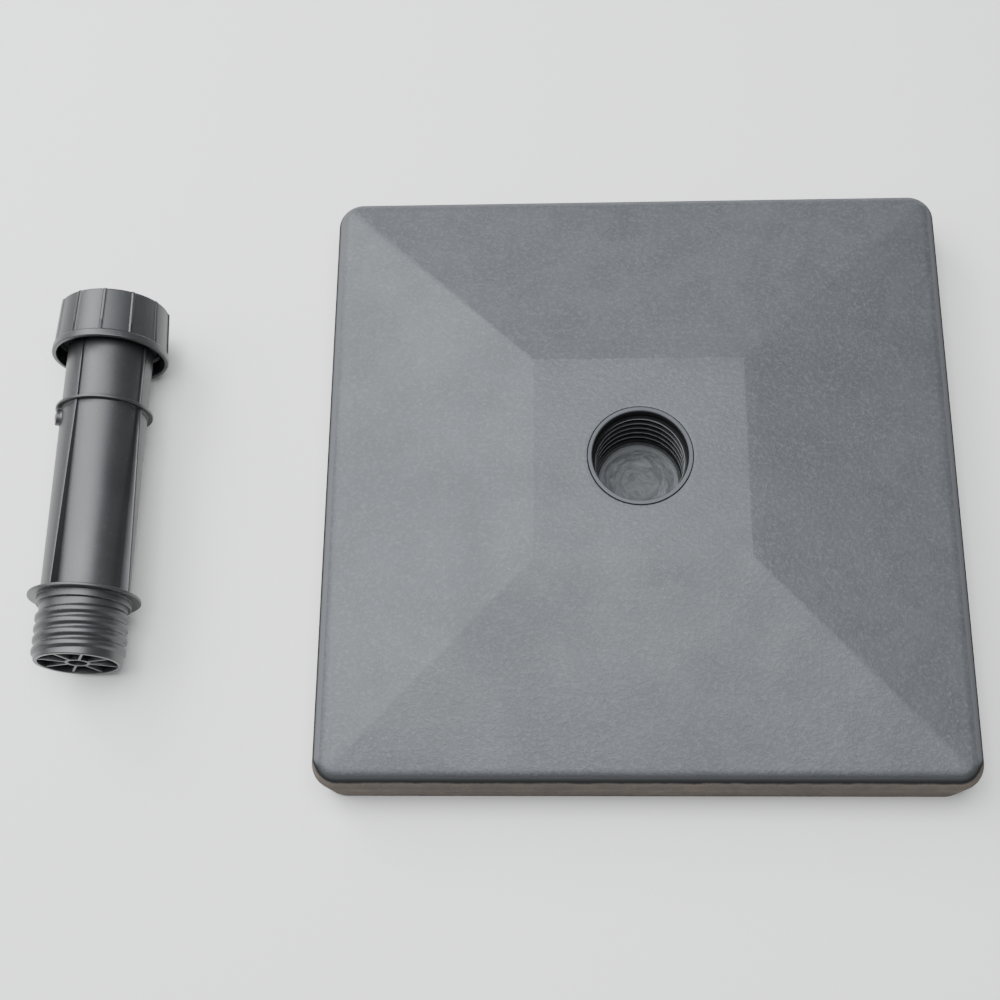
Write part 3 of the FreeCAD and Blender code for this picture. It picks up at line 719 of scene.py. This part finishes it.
def build_tube():
    outline = soften([
        (BORE_R, FOOT_END, 0.5), (FOOT_R, FOOT_END, 0.8), (FOOT_R, BAND_LOW, 0.5),
        (BAND_R, BAND_LOW, 0.6), (BAND_R, -FLANGE_T, 0.5), (FLANGE_R, -FLANGE_T, 0.7),
        (FLANGE_R, 0.0, 0.7), (BODY_R, 0.0, 1.4), (BODY_R, RING_Z - RING_T / 2, 0.8),
        (RING_R, RING_Z - RING_T / 2, 0.6), (RING_R, RING_Z + RING_T / 2, 0.6),
        (BODY_R, RING_Z + RING_T / 2, 0.8), (BODY_R, HEAD_LOW, 2.0), (HEAD_ROOT, HEAD_FULL, 1.0),
        (HEAD_ROOT, HEAD_TOP, 0.6), (HEAD_BORE, HEAD_TOP, 0.5), (HEAD_BORE, HEAD_SEAT, 0.3),
        (BORE_R, HEAD_SEAT - 1.0, 0.5),
    ])
    outline = refine(outline, [
        (FOOT_END + 1.0, BAND_LOW - 0.5, 0.42), (HEAD_FULL + 0.5, HEAD_TOP - 0.3, 0.4),
        (0.0, HEAD_LOW, 9.0)])
    foot_rise = FOOT_CREST_R - FOOT_R
    head_rise = HEAD_CREST - HEAD_ROOT

    def radius(r, z, a):
        if abs(r - FOOT_R) < 0.05 and FOOT_END + 1.0 < z < BAND_LOW - 0.5:
            share = (a - math.radians(FOOT_THREAD_TURN)) / (2 * math.pi)
            turns = (z - FOOT_THREAD_LOW) / FOOT_PITCH - share
            return r + foot_rise * ridge(turns, 0.24, 0.33) * run_out(turns, share, FOOT_THREAD_TURNS)
        if abs(r - HEAD_ROOT) < 0.05 and HEAD_FULL < z < HEAD_TOP:
            share = a / (2 * math.pi)
            turns = (z - HEAD_THREAD_LOW) / CAP_PITCH - share
            return r + head_rise * ridge(turns, 0.22, 0.19) * run_out(turns, share, HEAD_THREAD_TURNS)
        return r

    parts = [lathe(outline, AROUND, radius)]
    # fins, ribs and webs are sunk a little into what they stand on
    root, hub_in, bore_out = BODY_R - 1.2, HUB_R - 1.0, BORE_R + 1.0
    fin = slab([(root, -0.3), (FIN_LOW, -0.3), (FIN_LOW, 2.0), (FIN_HIGH, RING_Z - 0.8),
                (root, RING_Z - 0.8)], FIN_T, 0.45)
    rib = slab([(root, RING_Z), (RIB_R, RING_Z), (RIB_R, RIB_TOP - 1.5), (BODY_R, RIB_TOP + 1.0),
                (root, RIB_TOP + 1.0)], RIB_T, 0.35)
    web = slab([(hub_in, WEB_LOW), (bore_out, WEB_LOW), (bore_out, WEB_TOP), (hub_in, WEB_TOP)], WEB_T, 0.3)
    for i in range(4):
        for verts, faces in (fin, rib):
            parts.append((turn(verts, 90.0 * i), faces))
    for i in range(8):
        parts.append((turn(web[0], 45.0 * i), web[1]))
    hub = soften([(HUB_BORE, WEB_LOW, 0.4), (HUB_R, WEB_LOW, 0.4), (HUB_R, WEB_TOP, 0.4),
                  (HUB_BORE, WEB_TOP, 0.4)])
    parts.append(lathe(hub, HUB_AROUND))
    # boss with its counterbore, about its own axis and then turned out
    rise = BOSS_OUT - BODY_R
    boss = soften([
        (SCREW_HOLE_R, -3.0, 0), (BOSS_R + 0.5, -3.0, 0), (BOSS_R + 0.5, -0.6, 0), (BOSS_R, 0.6, 0.6),
        (BOSS_R, rise, 0.6), (BOSS_HOLE_R, rise, 0.4), (BOSS_HOLE_R, 0.6, 0.3), (SCREW_HOLE_R, 0.6, 0),
    ])
    verts, faces = lathe(boss, BOSS_AROUND)
    verts = [(z + BODY_R, y, -x + BOSS_Z) for x, y, z in verts]
    parts.append((turn(verts, BOSS_TURN), faces))
    verts, faces = merge(parts)
    return new_object("stand_tube_form", scaled(verts, TUBE), faces, 42)


# ---------------------------------------------------------------- cap nut
def build_cap():
    far = CAP_FAR_R - CAP_RELIEF
    rib_step = 360.0 / CAP_RIBS

    def edge(z):
        """Radius of the nut over its ribs at a height."""
        return CAP_MOUTH_R + (CAP_FAR_R - CAP_MOUTH_R) * (z - CAP_LOW) / (CAP_HIGH - CAP_LOW)

    band = CAP_LOW + CAP_BAND
    outline = soften([
        (CAP_BORE, CAP_LOW, 0.7), (CAP_MOUTH_R, CAP_LOW, 0.9), (edge(band), band, 0.5),
        (edge(band) - CAP_RELIEF, band + 0.8, 0.5), (far, CAP_HIGH, 1.6),
        # the seat of the collet's flange, and the cone that closes the collet
        (CAP_EYE_R, CAP_HIGH, 0.8), (CAP_EYE_R, 220.2, 0.4), (31.3, 220.2, 0), (31.3, 217.7, 0),
        (30.0, 217.7, 0.2), (30.0, 217.2, 0.2), (33.3, CAP_THREAD_TOP, 0.2), (CAP_CREST, CAP_THREAD_TOP, 0.3),
        (CAP_CREST, CAP_THREAD_FULL, 0.5), (CAP_BORE, CAP_THREAD_LOW, 0.5),
    ])
    outline = refine(outline, [
        (CAP_THREAD_LOW - 0.1, CAP_THREAD_TOP + 0.1, 0.5), (CAP_LOW + 1.0, CAP_HIGH - 0.5, 2.0)])

    def radius(r, z, a):
        if r > far - 1.8 and z > band - 0.2:
            # raised grip ribs, which fade into the rounding of the far end
            step = math.degrees(a) - CAP_RIB_TURN
            off = abs((step + rib_step / 2) % rib_step - rib_step / 2)
            half = math.degrees(CAP_RIB_W / 2 / r)
            up = 1.0 - smooth((off - half * 0.62) / (half * 0.62))
            top = edge(z) - (0.0 if z < CAP_HIGH - 1.6 else (z - CAP_HIGH + 1.6) * 0.75)
            return r + max(0.0, top - r) * up if z < CAP_HIGH - 0.02 else r
        if r < CAP_ROOT and CAP_THREAD_LOW < z < CAP_THREAD_TOP - 0.1:
            # the groove matches the head's thread, and runs out through the chamfer at its mouth
            phase = (z - HEAD_THREAD_LOW) / CAP_PITCH + 1.0 - a / (2 * math.pi)
            return max(r, CAP_CREST + (CAP_ROOT - CAP_CREST) * ridge(phase, 0.36, 0.2))
        return r

    verts, faces = lathe(outline, CAP_AROUND, radius)
    return new_object("cap_nut_form", scaled(verts, TUBE), faces, 34)


made = (
    (build_top_shell(), "top_shell", "shell_plastic", "base"),
    (build_insert(), "socket_insert", "insert_plastic", "base"),
    (build_tube(), "stand_tube", "tube_plastic", "tube"),
    (build_cap(), "cap_nut", "tube_plastic", "cap"),
)
for ob, node, slot, body in made:
    dress(ob, slot)
    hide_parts(node)
    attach(ob, body)
# the shell's walls wear the material with painted brown ground reflection and painted shade, its slopes the
# shell plastic, whose eave carries painted shade too
shell_mesh = made[0][0].data
shell_mesh.materials.append(walls_painted_light)
for face in shell_mesh.polygons:
    if face.center.z < WALL_TOP * MM:
        face.material_index = 1


# ---------------------------------------------------------------- floor, light, camera
FLOOR_REACH, FLOOR_CELLS, FLOOR_Z = 4.5, 12, -0.0003


def build_floor():
    row = FLOOR_CELLS + 1
    steps = [-FLOOR_REACH + 2 * FLOOR_REACH * i / FLOOR_CELLS for i in range(row)]
    verts = [(x, y, FLOOR_Z) for y in steps for x in steps]
    faces = [(j * row + i, j * row + i + 1, (j + 1) * row + i + 1, (j + 1) * row + i)
             for j in range(FLOOR_CELLS) for i in range(FLOOR_CELLS)]
    ob = new_object("floor", verts, faces)
    ob.data.materials.append(floor_material())


build_floor()


COOL_WHITE = (0.935, 0.965, 1.0)
ORIGIN = Vector((0, 0, 0))


def softbox(name, place, size, power):
    """An area light that faces the origin; place in metres, power in watts."""
    data = bpy.data.lights.new(name, "AREA")
    data.shape = "RECTANGLE"
    data.size, data.size_y = size
    data.energy = power
    data.color = COOL_WHITE
    ob = bpy.data.objects.new(name, data)
    ob.location = place
    ob.rotation_euler = (ORIGIN - Vector(place)).to_track_quat("-Z", "Y").to_euler()
    scene.collection.objects.link(ob)


softbox("overhead", (0.0, 0.0, 2.3), (1.4, 1.4), 62.0)
softbox("left", (-1.89123, 0.0, 1.47759), (1.6, 1.4), 22.0)
softbox("left_high", (-0.95, 0.40, 2.0), (1.3, 1.3), 33.0)
softbox("left_back", (-1.4, 1.4, 1.4), (1.0, 1.0), 34.0)

world = bpy.data.worlds.new("studio")
scene.world = world
world.use_nodes = True
background = world.node_tree.nodes["Background"]
background.inputs["Color"].default_value = (0.90, 0.95, 1.0, 1.0)
background.inputs["Strength"].default_value = 0.32

# the camera stands over the near edge and looks steeply down, a little turned and rolled
ELEVATION, HEADING, ROLL = math.radians(68.85), math.radians(-7.71), math.radians(-7.59)
level = Vector((math.sin(HEADING), math.cos(HEADING), 0))
forward = level * math.cos(ELEVATION) - Vector((0, 0, math.sin(ELEVATION)))
right = Vector((math.cos(HEADING), -math.sin(HEADING), 0))
up = right.cross(forward)
side = right * math.cos(ROLL) + up * math.sin(ROLL)
top = up * math.cos(ROLL) - right * math.sin(ROLL)
lens = bpy.data.cameras.new("camera")
lens.sensor_width = 36.0
lens.lens = 59.35
camera = bpy.data.objects.new("camera", lens)
pose = Matrix((side, top, -forward)).transposed().to_4x4()
pose.translation = Vector((-0.04206, -0.43783, 1.13323))
camera.matrix_world = pose
scene.collection.objects.link(camera)
scene.camera = camera
